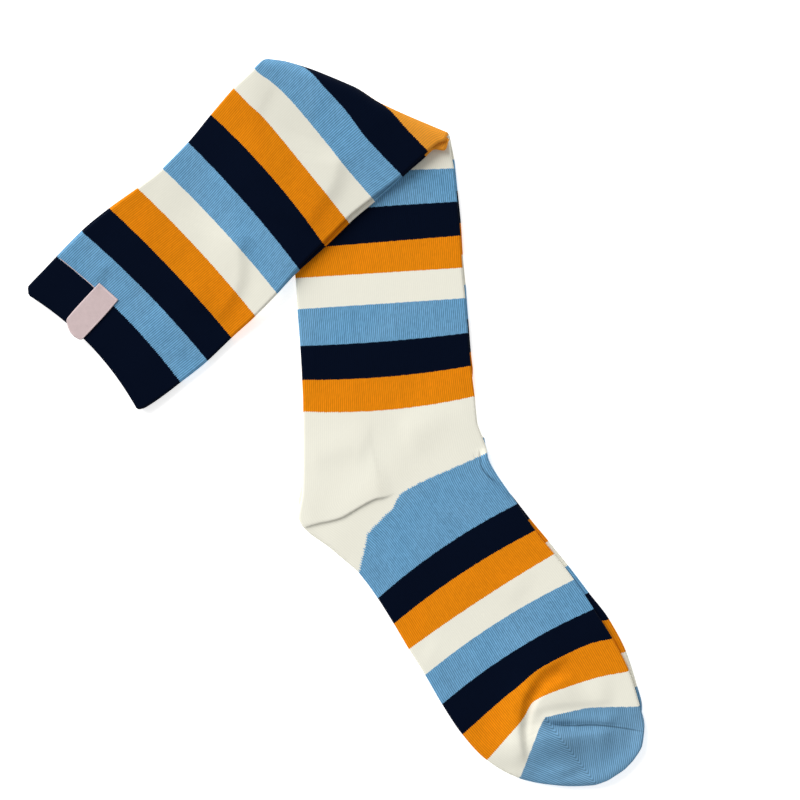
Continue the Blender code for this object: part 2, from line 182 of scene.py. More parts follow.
ROUTE_ORIGIN = np.array((-0.8, -0.8))  # the routes below are measured from here

# ---- Borders that don't run straight across
# The gusset's and the toe's, from the front edge to the back edge, as they
# lie on the upper sock.
BORDERS = {
    21: ((77.1, -17.5), (38.6, -35.1), (31, -45), (18.8, -57.6), (17.2, -62.5), (13.5, -79.7)),
    27: ((147.5, -114.2), (137.2, -116.1), (124.5, -121.4), (108.4, -129.7), (98.1, -138.3),
        (87.7, -147), (69.2, -163.6)),
    28: ((155, -131.6), (140.7, -134.2), (126.1, -138.6), (114.2, -142.6), (106.3, -146.5),
        (103, -150.1), (100.3, -155.4), (93, -164), (81.8, -177.3)),
    29: ((161.3, -150), (137.2, -150.4), (127.9, -151.8), (114, -154.8), (110.8, -156.2),
        (107, -164), (98.3, -187.8)),
}
BORDER_REACH = 15.0  # each border's ends are drawn out this far

# The knit of the toe cap turns at a mitre: past it, the ribs run another way.
MITRE = np.array(((113.8, -159.0), (133.7, -184.9)))
MITRE_LEFT = np.array((-0.385, -0.923))  # from one rib to the next, left of it
MITRE_RIGHT = np.array((0.990, 0.139))  # and right of it
MITRE_ROUND = 0.35  # how softly they turn

# ---- Creases
# Each one rises to its height along its route, and fades out to its left and
# its right over those widths.  Troughs have a height below 0 and a sharp floor.
FOOT_CREASES = (
    # height, fade left, fade right, route
    # The heel's gore, with the leg's cloth over it.
    (1.3, 22, 1.3, ((-22, -56), (-10.2, -52.6), (-2.2, -50.9), (3.9, -49), (9.8, -45.6),
        (15.8, -42.1), (21.1, -39.5), (26.4, -38.4), (33, -36.4))),
    # The two rolls each side of the dent across the toe's orange and white.
    (2.4, 3.8, 13, ((127, -119), (115.6, -126.4), (108.3, -131.2), (103.2, -138), (98.9, -146.5),
        (96.8, -158.9), (97.6, -170), (99.5, -183))),
    (1.3, 3.2, 6, ((106.5, -134), (102.2, -139.6), (98.9, -146.5), (97.6, -152.3), (97.2, -159),
        (97.8, -166.6), (99, -173.8), (101, -184))),
    (1.6, 16, 2.8, ((130, -132.5), (116.5, -139.5), (111.3, -144), (107.9, -148.6), (105.8, -154.4),
        (104.4, -162), (104.6, -169), (107, -184))),
    (0.9, 12, 4, ((99, -153), (110, -149.2), (118, -147.6), (126, -146.8), (150, -145.4))),
    # The toe's seam: a groove, the cloth puffed up behind it and a lip before it.
    (1.5, 4, 2.6, ((108, -155.6), (113, -156.7), (119, -157.5), (130, -157.2), (152, -158))),
    (-0.5, 1.8, 1.5, ((114.5, -158.6), (124.1, -160.3), (137.7, -159.9), (152.8, -161.5),
        (168, -164))),
    (-1.2, 2, 2, ((110, -157.6), (115, -159.2), (120, -160), (128, -160.6))),
    (2.1, 3.2, 8, ((108.5, -157.5), (110.6, -163.2), (114.2, -166.2), (120, -167), (130, -165.8),
        (150, -164))),
    # The toe cap: its mitre, its crown and its rounded rim.
    (0.3, 1.2, 1.2, ((112.5, -162), (136, -188))),
    (1.6, 8, 12, ((117, -160), (121, -173), (125, -188))),
    (2.6, 4, 5, ((165.5, -156), (163, -171), (157.2, -179.5), (149, -185.6), (137.5, -190.2),
        (104, -190.5))),
    # The ankle, where the cloth is tucked and rolls over.
    (2.2, 4, 2, ((79.6, -12), (80, -17), (80.4, -22), (83, -26.4), (88.5, -32), (95, -40))),
    # Slight folds in the leg, the heel and the foot.
    (0.6, 9, 12, ((34, -8), (60, 2), (76, 9))),
    (0.5, 10, 7, ((-16, -20), (6, -12), (20, -14))),
    (0.5, 12, 9, ((60, -58), (80, -78), (104, -92))),
    (0.4, 8, 10, ((46, -118), (64, -126), (84, -128))),
)
CUFF_CREASES = (
    (1.5, 5.8, 28, ((2.5, 146), (0.6, 140), (-0.3, 133), (-3.4, 124.6), (-8.7, 118.2), (-13, 110.8),
        (-17, 99))),
    (2, 5.4, 26, ((-46, 104), (-50.1, 97), (-51.7, 90.6), (-51.4, 82.2), (-52.7, 73.7),
        (-57.5, 65.2), (-66, 52))),
    (0.4, 4.2, 9, ((-30, 186), (-38, 172), (-43, 162), (-42, 148), (-37, 138))),
    (1.1, 5, 9, ((-142, 99), (-133, 87), (-118, 78))),
    (0.6, 6, 10, ((-96, 62), (-84, 46), (-80, 34))),
    (0.5, 7, 13, ((-20, 150), (-36, 134), (-62, 120))),
)
# Undersides: troughs that press up into the cloth.
FOOT_UNDER_CREASES = (
    (0.3, 2.5, 4, ((-10, -40), (8, -52), (30, -58))),
    (0.3, 3.5, 2, ((112, -148), (130, -152), (155, -150))),
    (0.25, 3, 5, ((20, 60), (34, 30), (30, 4))),
    (0.3, 2, 4, ((70, -96), (84, -116), (104, -124))),
)
CUFF_UNDER_CREASES = (
    (0.3, 4, 2.5, ((-70, 96), (-62, 72), (-74, 50))),
    (0.25, 3, 5, ((-126, 98), (-108, 70))),
    (0.3, 2.5, 4, ((-98, 128), (-84, 104), (-90, 84))),
)
CREASE_END = 0.2  # share of a route over which its crease starts and ends
ROUTE_STEPS = 4  # straight lines from one point of a route to the next
CREST_POWER = 2.0  # the fall from a ridge, which is round on top
FLOOR_POWER = 1.0  # and from a trough, which is sharp
DEEPEST = -0.3  # no trough is deeper, to stay clear of the wall below

# Slow waves over the walls that show: length along x, along y, start and height.
WAVES = (
    (57, 83, 0.6, 0.12),
    (-41, 66, 2.1, 0.09),
    (29, -37, 4, 0.05),
)
WAVES_BELOW = 70.0  # in the leg they fade out towards the fold, from here
WAVES_FADE = 20.0

# Stitched and pressed lines, too fine for the mesh, on the upper sock's foot: grooves in the bump,
# with painted shade along them.
SHADED_LINES = (
    # width, depth, route
    (0.50, 0.55, ((111, -157.8), (117, -159.3), (124.1, -160), (137.7, -159.6), (152.8, -161.2),
        (168, -164))),
    (0.50, 0.35, ((-22, -57.2), (-9.8, -53.4), (-1.8, -51.7), (4.3, -49.8), (10.2, -46.4),
        (16.2, -42.9), (21.5, -40.3), (26.8, -39.2), (31, -37.6))),
    (0.55, 0.8, ((75.6, -13), (76.8, -18), (77.6, -22.8), (80.3, -26.4), (85.5, -31.4))),
)
SEAM_REACH = 3.0  # widths past which a line doesn't show

# ---- How finely the tubes are divided
SHOWN_STRIPS = 94  # strips across the wall that shows
HIDDEN_STRIPS = 28  # and across the other one
EDGE_ANGLES = (-72.0, -36.0, 0.0, 36.0, 72.0)  # points round each edge of the tube
ROW_STEP = 1.2  # greatest distance from one row to the next
FINE_ROW_STEP = 0.65  # the same in the heel and the toe
COARSE_ROW_STEP = 2.4  # the same where nearly all is hidden
FINE_STRETCHES = ((20.35, 20.85), (27.6, 29.9))
FOLD_STRETCH = (8.3, 13.2)  # stripes that reach round the fold
INNER_EVERY = 6  # the inside keeps one row in so many
INNER_FOLD_EVERY = 2  # and more of them round the fold
PATH_STEP = 0.01  # stripes between the tests along the edges
SLANT_REACH = 5 * PATH_STEP  # stripes each way over which a slant is taken
MIN_SLANT = 0.35  # least sine of a row against the outline
RIM_ROUND = 0.35  # how far the cuff's rim is rounded out

# ---- The knit
WALE = 1.06  # from one rib of the knit to the next
COURSE = 0.78  # from one row of loops to the next
NOMINAL_WIDTH = 88.0  # of a pressed tube, for counting its ribs
EDGE_ROUND = math.pi * TUBE / 2  # cloth that goes round one edge

# ---- The ribbon label
LABEL_WIDTH = 14.0
LABEL_LENGTH = 27.0  # from the rim down the leg
LABEL_PROUD = 1.2  # how far its fold stands past the rim at its corners
LABEL_BOW = 1.8  # and how much further in the middle
LABEL_SKEW = 1.2  # how far one corner is behind and the other ahead
LABEL_BOW_RUN = 9.0  # both are lost this far down the leg
LABEL_TURN_IN = 6.0  # the part that goes back inside the cuff
LABEL_THICK = 0.5
LABEL_TILT = math.radians(-1.0)
LABEL_PLACE = 0.364  # how far across the cuff it sits
LABEL_STRIPS = 26
LABEL_STEP = 0.45  # along the ribbon
LABEL_BEND_STEPS = 3  # steps round its fold for each of those
LABEL_CORNER = 2.4  # radius of the corners at its fold
LABEL_CORNER_CUT = 0.8  # how much of them is cut away
LABEL_BELLY = 0.35  # how far its sides curve out
LABEL_HEM = 1.3  # width of the pressed band at its sewn end
SELVEDGE = 0.5  # width of the firm edges
LABEL_THIN = 0.72  # thickness between them, as a share of theirs
THREAD_RADIUS = 0.22
THREAD_SIDES = 6
THREAD_RINGS = 40
THREAD_STAND = 0.6  # its middle's height over the cuff, in its radius
THREAD_REACH = (0.01, 0.36)  # where it starts and ends, as shares of the cuff

# ---- Colours, from the yarns in daylight, and what they vary by
YARNS = (
    # name, red, green, blue, how much its shade varies, how much painted shade darkens it in the
    # lower sock
    ("blue", 0.133, 0.314, 0.503, 1.0, 0.97),
    ("navy", 0.0010, 0.0033, 0.0120, 0.35, 1.0),
    ("orange", 0.735, 0.222, 0.004, 0.55, 0.90),
    ("white", 0.824, 0.807, 0.698, 0.07, 0.91),
)
TOE_YARN = (0.138, 0.288, 0.442)  # the blue of the tighter knit in the toe cap
STRIPES_IN_REPEAT = 4
RIDGE_HIGHLIGHT_STRIPE = 11.0  # the stripe that goes over the fold's end
RIDGE_HIGHLIGHT_SHARE = 0.12  # how much paler the painted highlight makes it
RIDGE_HIGHLIGHT = (0.86, 0.80, 0.20, 1.0)  # towards this painted highlight colour
FRAY = 0.022  # stripes by which each rib's end is longer or shorter
LAST_STRIPE = TOE_CAP + 0.9  # and none reads past this

LOOP_SLOPE = 1.2  # how steep the V of each loop is
LOOP_DEPTH = 0.07  # of the marks round a loop, over the grooves between ribs
GROOVE_PAINTED_SHADE = -0.34  # painted shade: how much darker that depth makes the grooves and loop marks
RELIEF = (-0.42, -0.06)  # and to the bump, with the yarn's variety and alone
LOOP_SHADE = 0.16  # how much one loop is paler than another
TOE_LOOP_SHADE = -0.10  # and how much less in the toe cap
RIB_SHADE = 0.08  # how much one rib is paler than another
STREAK_STRETCH = 0.3  # the streaks are drawn out along the ribs
LINE_PAINTED_SHADE = -0.35  # painted shade: how dark the stitched and pressed lines are

RIBBON = (0.617, 0.485, 0.485, 1.0)
RIBBON_PALE = (0.72, 0.57, 0.58, 1.0)  # its firm edges
RIBBON_EDGE = 0.75  # how far those reach that colour
RIBBON_END = 0.8  # share of the hem that does
WEFT = 0.42  # from one thread across the ribbon to the next
WARP = 0.3  # and from one along it to the next
WARP_HEIGHT = 0.5  # over that of the weft
WEAVE_SHADE = 0.05
WHITE = (1.0, 1.0, 1.0, 1.0)

# ---- The view and the stage
VIEW_WIDTH = 424.0  # width of the table in view
VIEW_CENTRE = (33.75, 12.2)
VIEW_HEIGHT = 4.0  # height at which the view has that width
LENS = 135.0
SENSOR = 36.0


# ---- Small helpers

def ease(value):
    """A smooth step from 0 to 1."""
    part = np.clip(value, 0.0, 1.0)
    return part * part * (3.0 - 2.0 * part)


def arch(part):
    """0 at both ends of a span and 1 in its middle."""
    return 4.0 * part * (1.0 - part)


def between(a, b, part):
    return a * (1.0 - part) + b * part


def fade_ends(share):
    """0 at both ends of a route and 1 away from them."""
    return ease(share / CREASE_END) * ease((1.0 - share) / CREASE_END)


def passed_along(points):
    """Distance passed along a line of points, at each of them."""
    steps = np.linalg.norm(np.diff(points, axis=0), axis=1)
    return np.concatenate(((0.0,), np.cumsum(steps)))


def read_table(table, place):
    """The columns of a table at places in its first column, on smooth curves
    that turn only where the table does."""
    rows = table[:, 0]
    values = table[:, 1:]
    steps = np.diff(rows)[:, None]
    slopes = np.diff(values, axis=0) / steps
    tangents = np.zeros_like(values)
    before, after = slopes[:-1], slopes[1:]
    same_way = before * after > 0.0
    total = np.where(same_way, before + after, 1.0)
    tangents[1:-1] = np.where(same_way, 2.0 * before * after / total, 0.0)
    tangents[0], tangents[-1] = slopes[0], slopes[-1]
    place = np.clip(np.asarray(place, float), rows[0], rows[-1])
    index = np.clip(np.searchsorted(rows, place, side="right") - 1, 0, len(rows) - 2)
    step = steps[index]
    part = ((place - rows[index])[..., None]) / step
    square, cube = part ** 2, part ** 3
    return (
        values[index] * (2 * cube - 3 * square + 1)
        + tangents[index] * step * (cube - 2 * square + part)
        + values[index + 1] * (3 * square - 2 * cube)
        + tangents[index + 1] * step * (cube - square)
    )


def unit(vectors):
    return vectors / np.linalg.norm(vectors, axis=-1, keepdims=True)


def left_of(vectors):
    return np.stack((-vectors[..., 1], vectors[..., 0]), -1)


def segment_distance(points, start, end):
    """Distance of points from a line's stretch, and their share along it."""
    line = end - start
    part = np.clip((points - start) @ line / (line @ line), 0.0, 1.0)
    return np.linalg.norm(points - start - part[..., None] * line, axis=-1), part


def smooth(route):
    """A route with its corners rounded, through the same points."""
    route = np.array(route)
    drawn = np.concatenate((2 * route[:1] - route[1:2], route, 2 * route[-1:] - route[-2:-1]))
    part = (np.arange(ROUTE_STEPS) / ROUTE_STEPS)[:, None]
    curves = []
    for a, b, c, d in zip(drawn, drawn[1:], drawn[2:], drawn[3:]):
        bend = 2 * a - 5 * b + 4 * c - d + (3 * b - 3 * c + d - a) * part
        curves.append(b + (c - a + bend * part) * part / 2)
    return np.concatenate(curves + [route[-1:]])


def route_distance(points, route):
    """Distance of points from a route, whether they are left of it, and their
    share along it."""
    route = smooth(route)
    passed = passed_along(route)
    nearest = np.full(points.shape[:-1], np.inf)
    left = np.zeros(points.shape[:-1], bool)
    share = np.zeros(points.shape[:-1])
    for i, length in enumerate(np.diff(passed)):
        away, part = segment_distance(points, route[i], route[i + 1])
        closer = away < nearest
        side = (points - route[i]) @ left_of(route[i + 1] - route[i]) > 0.0
        nearest = np.where(closer, away, nearest)
        left = np.where(closer, side, left)
        share = np.where(closer, (passed[i] + part * length) / passed[-1], share)
    return nearest, left, share


def outside(points, loop):
    """How far points lie outside a closed outline, or 0 inside it."""
    inside = np.zeros(points.shape[:-1], bool)
    nearest = np.full(points.shape[:-1], np.inf)
    x, y = points[..., 0], points[..., 1]
    for a, b in zip(loop, np.roll(loop, -1, axis=0)):
        if a[1] != b[1]:
            spans = (a[1] > y) != (b[1] > y)
            crossing = a[0] + (y - a[1]) / (b[1] - a[1]) * (b[0] - a[0])
            inside ^= spans & (crossing > x)
        nearest = np.minimum(nearest, segment_distance(points, a, b)[0])
    return np.where(inside, 0.0, nearest)


# ---- The plan of one sock

def plan_edges(places, stripe):
    """Back edge, front edge and bow of one sock at its stripes, in plan."""
    section = read_table(SECTIONS, stripe)
    place = read_table(places, stripe)
    back = section[..., 0:2] + place[..., 0:2]
    front = section[..., 2:4] + place[..., 0:2]
    across = unit(front - back)
    back = back - across * place[..., 2:3]
    front = front + across * place[..., 3:4]
    return back, front, section[..., 4]


def outline(places, first):
    """The outline of one sock in plan, from a stripe to the tip of its toe."""
    stripes = np.union1d(SECTIONS[:, 0], places[:, 0])
    back, front, _ = plan_edges(places, stripes[stripes >= first])
    return np.concatenate((back, front[::-1]))


def row_stripes(places, hidden, fine):
    """Stripe of every row, from the toe to the cuff: far apart on a hidden
    stretch, and close together on fine ones."""
    stripes = np.arange(0.0, TOE_TIP + PATH_STEP / 2, PATH_STEP)
    back, front, _ = plan_edges(places, stripes)
    steps = np.maximum(
        np.linalg.norm(np.diff(back, axis=0), axis=1),
        np.linalg.norm(np.diff(front, axis=0), axis=1),
    )
    middles = (stripes[:-1] + stripes[1:]) / 2
    spacing = np.full(len(middles), ROW_STEP)
    for stretch in fine:
        spacing[(middles > stretch[0]) & (middles < stretch[1])] = FINE_ROW_STEP
    spacing[(middles > hidden[0]) & (middles < hidden[1])] = COARSE_ROW_STEP
    counts = np.concatenate(((0.0,), np.cumsum(steps / spacing)))
    rows = int(counts[-1]) + 1
    return np.interp(np.linspace(counts[-1], 0.0, rows), counts, stripes)


class Plan:
    """The rows of one sock, laid out straight."""

    def __init__(self, places, stripes):
        self.places = places
        self.stripes = stripes
        back, front, self.bow = plan_edges(places, stripes)
        self.across = unit(front - back)
        self.normal = left_of(self.across)
        ahead = plan_edges(places, np.minimum(stripes + SLANT_REACH, TOE_TIP))
        behind = plan_edges(places, np.maximum(stripes - SLANT_REACH, 0.0))
        insets = []
        for side in (0, 1):
            run = unit(ahead[side] - behind[side])
            slant = np.abs(np.cross(run, self.across))
            insets.append(TUBE / 2 / np.maximum(slant, MIN_SLANT))
        self.insets = np.stack(insets, -1)
        self.back = back + self.across * self.insets[:, 0:1]
        self.front = front - self.across * self.insets[:, 1:2]

    def points(self, part, outward):
        """Plan points: part runs from 0 at the back edge to 1 at the front, and
        outward is how far round the edge a point lies, as a share of its inset."""
        part = np.asarray(part)[None, :, None]
        outward = np.asarray(outward)[None, :]
        points = between(self.back[:, None], self.front[:, None], part)
        points = points + (self.normal * self.bow[:, None])[:, None] * arch(part)
        side = (outward > 0.0).astype(int)
        reach = np.where(side, self.insets[:, 1:2], self.insets[:, 0:1]) * outward
        return points + self.across[:, None] * reach[..., None]


# ---- From the plan to the folded pair

class Lay:
    """How one sock lies: its height in the stack, its bend and its supports."""

    def __init__(self, places, base, under_leg, under_fold):
        self.places = places
        self.middle = base + TUBE / 2
        self.bend = math.pi * (FOLD_AXIS - self.middle)
        self.under_leg = under_leg        # outline that carries the leg and foot
        self.under_fold = under_fold      # outline that carries the folded half

    def turned(self, points, height):
        """Plan points taken round the fold, and the share of the turn they make."""
        along = (points - FOLD_START) @ FOLD_ALONG
        past = (points - FOLD_START) @ FOLD_OUT
        share = np.clip(past / self.bend, 0.0, 1.0)
        beyond = np.maximum(np.maximum(-past, past - self.bend), 0.0)
        bow = read_table(RIDGE_BOW, along)[..., 0] * (1.0 - ease(beyond / BOW_FADE))
        radius = FOLD_AXIS - height
        out = bow + np.minimum(past, 0.0) - np.maximum(past - self.bend, 0.0)
        out = out + radius * np.sin(math.pi * share)
        ground = FOLD_START + FOLD_ALONG * along[..., None] + FOLD_OUT * out[..., None]
        z = FOLD_AXIS - radius * np.cos(math.pi * share)
        z = z - 2 * FOLD_LOOSE * ease((past - self.bend) / LOOSE_RUN)
        return ground, z, share

    def place(self, plan, height, wall):
        """World points in metres.  Wall is 1 on the wall that is on top in the
        leg, -1 on the one that is on top in the folded half, 0 between them."""
        ground, z, share = self.turned(plan, height)
        over = ease(share)
        if self.under_leg is not None:
            clear = outside(ground, self.under_leg) - FOOT_DRAPE_START
            z = z - LAYER * ease(clear / FOOT_DRAPE_RUN) * (1.0 - over)
        sunk = 2 * LAYER * ease(outside(ground, self.under_fold) / DRAPE_RUN)
        z = z - sunk * over
        spot = ground - ROUTE_ORIGIN
        above = np.maximum(wall, 0.0)
        below = np.maximum(-wall, 0.0)
        if self.under_leg is not None:
            waves = wave_lift(spot) * ease((WAVES_BELOW - spot[..., 1]) / WAVES_FADE)
            z = z + above * settle(crease_lift(spot, FOOT_CREASES) + waves) * (1.0 - over)
            z = z + above * crease_lift(spot, CUFF_UNDER_CREASES) * over
        else:
            lift = crease_lift(spot, CUFF_CREASES) + wave_lift(spot) + mouth_lift(plan)
            z = z + below * settle(lift) * over
            z = z + below * crease_lift(spot, FOOT_UNDER_CREASES) * (1.0 - over)
        return np.concatenate((ground - CENTRE, z[..., None]), -1) * MM


def crease_lift(points, creases):
    """How far the creases raise a wall."""
    lift = np.zeros(points.shape[:-1])
    for height, fade_left, fade_right, route in creases:
        away, left, share = route_distance(points, route)
        fade = np.where(left, fade_left, fade_right)
        power = CREST_POWER if height > 0.0 else FLOOR_POWER
        lift += height * fade_ends(share) * np.exp(-(away / fade) ** power)
    return lift


def settle(lift):
    """A lift whose troughs level off before they reach the wall below."""
    return np.where(lift > 0.0, lift, DEEPEST * (1.0 - np.exp(-np.minimum(lift, 0.0) / DEEPEST)))


def wave_lift(points):
    lift = np.zeros(points.shape[:-1])
    for length_x, length_y, start, height in WAVES:
        turn = points[..., 0] / length_x + points[..., 1] / length_y
        lift += height * np.sin(math.tau * turn + start)
    return lift


def rim_point(part):
    """A plan point on the rim of the cuff on top, and the way up out of the cuff."""
    back, front, bow = plan_edges(LOWER_PLACES, 0.0)
    normal = left_of(unit(front - back))
    part = np.asarray(part)[..., None]
    return back + (front - back) * part + normal * bow * arch(part), normal


def mouth_lift(plan):
    """How far the cuff on top gapes."""
    back, front, _ = plan_edges(LOWER_PLACES, 0.0)
    line = front - back
    rim, normal = rim_point((plan - back) @ line / (line @ line))
    return MOUTH_LIFT * (1.0 - ease((rim - plan) @ normal / MOUTH_RUN))


# ---- Where the yarn changes, and how the loops run

def crossing(path, reach, border):
    """How far along a path a border crosses it."""
    a, b = path[:-1, None], path[1:, None]
    c, d = border[None, :-1], border[None, 1:]
    run, line = b - a, d - c
    turn = np.cross(run, line)
    turn = np.where(turn == 0.0, np.inf, turn)
    on_path = np.cross(c - a, line) / turn
    on_border = np.cross(c - a, run) / turn
    met = (on_path >= 0.0) & (on_path <= 1.0) & (on_border >= 0.0) & (on_border <= 1.0)
    index, segment = np.nonzero(met)
    if not len(index):
        return None
    step = on_path[index[0], segment[0]]
    return between(reach[index[0]], reach[index[0] + 1], step)


def border_route(plan, stripe):
    """A border's route in the plan of one sock, drawn out past both edges."""
    route = smooth(BORDERS[stripe]) + ROUTE_ORIGIN + read_table(plan.places, float(stripe))[0:2]
    first = route[0] + unit(route[0] - route[1]) * BORDER_REACH
    last = route[-1] + unit(route[-1] - route[-2]) * BORDER_REACH
    return np.concatenate((first[None], route, last[None]))


def yarn_place(plan, part):
    """The stripe that shows at each point of the rows."""
    whole = np.arange(0.0, TOE_CAP + 2.0)
    routes = {stripe: border_route(plan, stripe) for stripe in BORDERS}
    order = np.argsort(plan.stripes)
    stripes = plan.stripes[order]
    result = np.empty((len(stripes), len(part)))
    for j, share in enumerate(part):
        middle = between(plan.back, plan.front, share)
        path = (middle + plan.normal * (plan.bow * arch(share))[:, None])[order]
        reach = passed_along(path)
        at = np.interp(whole, stripes, reach)
        for stripe, route in routes.items():
            found = crossing(path, reach, route)
            if found is not None:
                at[stripe] = found
        at = np.maximum.accumulate(at + whole * PATH_STEP)
        result[order, j] = np.interp(reach, at, whole)
    return result


def loop_place(plan, part):
    """Rows of loops counted from the toe along each rib."""
    ribs = [passed_along(between(plan.back, plan.front, share)) for share in part]
    return np.stack(ribs, 1) / COURSE


def toe_loops(corners, places):
    """Rib and loop counts on the toe cap, where the knit turns at the mitre."""
    spot = corners - read_table(places, TOE_CAP)[0:2]
    centre = spot.mean(axis=1, keepdims=True)
    past = np.cross(MITRE[1] - MITRE[0], centre - MITRE[0]) < 0.0
    spot = spot - MITRE[0]
    left, right = spot @ MITRE_LEFT, spot @ MITRE_RIGHT
    rib = (left + right) / 2 + np.hypot((left - right) / 2, MITRE_ROUND)
    row = np.where(past, spot @ left_of(MITRE_LEFT), spot @ left_of(MITRE_RIGHT))
    return np.stack((rib / WALE, row / COURSE), -1)


def shaded_line_place(spots, shows):
    """Signed distance to the nearest stitched or pressed line in its widths, and its depth there,
    which sets its groove and its painted shade.
    """
    nearest = np.full(spots.shape[:-1], 2 * SEAM_REACH)
    depth = np.zeros(spots.shape[:-1])
    for width, deepest, route in SHADED_LINES:
        away, left, share = route_distance(spots, route)
        closer = away / width < np.abs(nearest)
        nearest = np.where(closer, np.where(left, away, -away) / width, nearest)
        depth = np.where(closer, deepest * fade_ends(share), depth)
    return np.stack((nearest, depth * shows * ease(2.0 - np.abs(nearest) / SEAM_REACH)), -1)


# ---- Meshes

class Ring:
    """The points round a tube: bottom wall, front edge, top wall, back edge."""

    def __init__(self, below, above):
        angles = np.radians(EDGE_ANGLES)
        low = np.arange(below + 1) / below
        high = np.arange(above, -1, -1) / above
        edge = np.ones(len(angles))
        rise = (angles / math.pi + 0.5) * EDGE_ROUND
        self.part = np.concatenate((low, edge, high, edge * 0.0))
        out, up = np.cos(angles), np.sin(angles)
        self.outward = np.concatenate((low * 0.0, out, high * 0.0, -out))
        self.height = np.concatenate((low * 0.0 - 1.0, up, high * 0.0 + 1.0, -up))
        arc = np.concatenate((
            low * NOMINAL_WIDTH,
            NOMINAL_WIDTH + rise,
            NOMINAL_WIDTH + EDGE_ROUND + (1.0 - high) * NOMINAL_WIDTH,
            2 * NOMINAL_WIDTH + EDGE_ROUND + rise,
            (2 * (NOMINAL_WIDTH + EDGE_ROUND),),
        ))
        self.rib = arc / arc[-1] * round(arc[-1] / WALE)
        self.count = len(self.part)


def grid_faces(rows, count, first, turned):
    """Quads between neighbouring rings, and the ring and row of each corner."""
    i, j = np.indices((rows - 1, count)).reshape(2, -1)
    row = np.stack((i, i, i + 1, i + 1), 1)
    column = np.stack((j, j + 1, j + 1, j), 1)
    if turned:
        row, column = row[:, ::-1], column[:, ::-1]
    return first + row * count + column % count, row, column


def cap_faces(count, first, turned):
    """A fan that closes the flattened ring at the toe."""
    j = np.arange(1, count - 1)
    corners = (j * 0, j, j + 1) if turned else (j * 0, j + 1, j)
    column = np.stack(corners, 1)
    return first + column, column * 0, column


class Surface:
    """Points, faces of any number of corners, and the maps on their corners."""

    def __init__(self):
        self.points = []
        self.faces = []
        self.maps = {}

    def add_points(self, points):
        first = len(self.points)
        self.points += points.reshape(-1, 3).tolist()
        return first

    def add_faces(self, faces, **maps):
        self.faces += faces.tolist()
        for name, values in maps.items():
            self.maps.setdefault(name, []).append(values.reshape(-1, 2))

    def make(self, name):
        data = bpy.data.meshes.new(name)
        data.from_pydata(self.points, [], self.faces)
        data.shade_smooth()
        for map_name, values in self.maps.items():
            layer = data.uv_layers.new(name=map_name)
            layer.uv.foreach_set("vector", np.concatenate(values).astype(np.float32).ravel())
        item = bpy.data.objects.new(name, data)
        bpy.context.scene.collection.objects.link(item)
        return item


def add_skin(surface, ring, plan, lay, radius, turned):
    """One side of a tube's cloth, closed at the toe; returns its placed points."""
    flat = plan.points(ring.part, ring.outward * radius / (TUBE / 2))
    placed = lay.place(flat, lay.middle + radius * ring.height, ring.height)
    first = surface.add_points(placed)
    part = np.append(ring.part, ring.part[0])
    yarn = yarn_place(plan, part)
    loops = loop_place(plan, part)
    spots = placed[..., 0:2] / MM + CENTRE - ROUTE_ORIGIN
    past_fold = plan.stripes[:, None] > FOLD_STRETCH[1]
    shows = (ring.height > 0.0) & past_fold & (lay.under_leg is not None)
    seams = shaded_line_place(spots, shows)
    for faces, row, column in (
        grid_faces(len(flat), ring.count, first, turned),
        cap_faces(ring.count, first, turned),
    ):
        stripe = yarn[row, column]
        loop_map = np.stack((ring.rib[column], loops[row, column]), -1)
        in_toe = stripe.mean(axis=1) > TOE_CAP
        corners = spots[row[in_toe], column[in_toe] % ring.count]
        loop_map[in_toe] = toe_loops(corners, plan.places)
        surface.add_faces(
            faces,
            stripes=np.stack((ring.rib[column], stripe), -1),
            loops=loop_map,
            seams=seams[row, column % ring.count],
        )
    return placed, first


def add_rim(surface, ring, outer, outer_first, inner, inner_first):
    """The rounded rim of the cuff, from the last ring outside to the last inside."""
    way = unit(outer[-1] - outer[-2])
    middle = surface.add_points((outer[-1] + inner[-1]) / 2 + way * RIM_ROUND * MM)
    rings = (
        outer_first + (len(outer) - 1) * ring.count,
        middle,
        inner_first + (len(inner) - 1) * ring.count,
    )
    j = np.arange(ring.count)
    after = (j + 1) % ring.count
    for i in (0, 1):
        low, high = rings[i], rings[i + 1]
        faces = np.stack((low + j, low + after, high + after, high + j), 1)
        ribs = ring.rib[np.stack((j, j + 1, j + 1, j), 1)]
        rows = np.broadcast_to(np.array((i, i, i + 1.0, i + 1.0)), ribs.shape)
        plain = ribs * 0.0
        surface.add_faces(
            faces,
            stripes=np.stack((ribs, plain), -1),
            loops=np.stack((ribs, rows), -1),
            seams=np.stack((plain, plain), -1),
        )


def make_sock(name, lay, ring, stripes):
    """One knitted tube: its outside, its inside and its rim."""
    surface = Surface()
    cavity = np.flatnonzero(stripes <= CAVITY_END)
    folded = cavity[(stripes[cavity] > FOLD_STRETCH[0]) & (stripes[cavity] < FOLD_STRETCH[1])]
    kept = np.concatenate((cavity[::INNER_EVERY], folded[::INNER_FOLD_EVERY], cavity[-1:]))
    kept = np.unique(kept)
    outer = add_skin(surface, ring, Plan(lay.places, stripes), lay, TUBE / 2, False)
    inner = add_skin(surface, ring, Plan(lay.places, stripes[kept]), lay, SLIT / 2, True)
    add_rim(surface, ring, *outer, *inner)
    return surface.make(name)


# ---- The label

def label_profile():
    """Middle line of the ribbon: distance down the leg, and height over the wall's middle."""
    lift = WALL / 2 + GAP + LABEL_THICK / 2
    reach = LABEL_PROUD - LABEL_THICK / 2
    runs = round(LABEL_LENGTH / LABEL_STEP)
    bends = round(math.pi * lift / LABEL_STEP) * LABEL_BEND_STEPS
    ends = round(LABEL_TURN_IN / LABEL_STEP)
    profile = [(LABEL_LENGTH * (1 - i / runs), lift) for i in range(runs)]
    for i in range(bends + 1):
        turn = math.pi * i / bends
        profile.append((-(reach - lift) - lift * math.sin(turn), lift * math.cos(turn)))
    profile += [(LABEL_TURN_IN * i / ends, -lift) for i in range(1, ends + 1)]
    return np.array(profile)


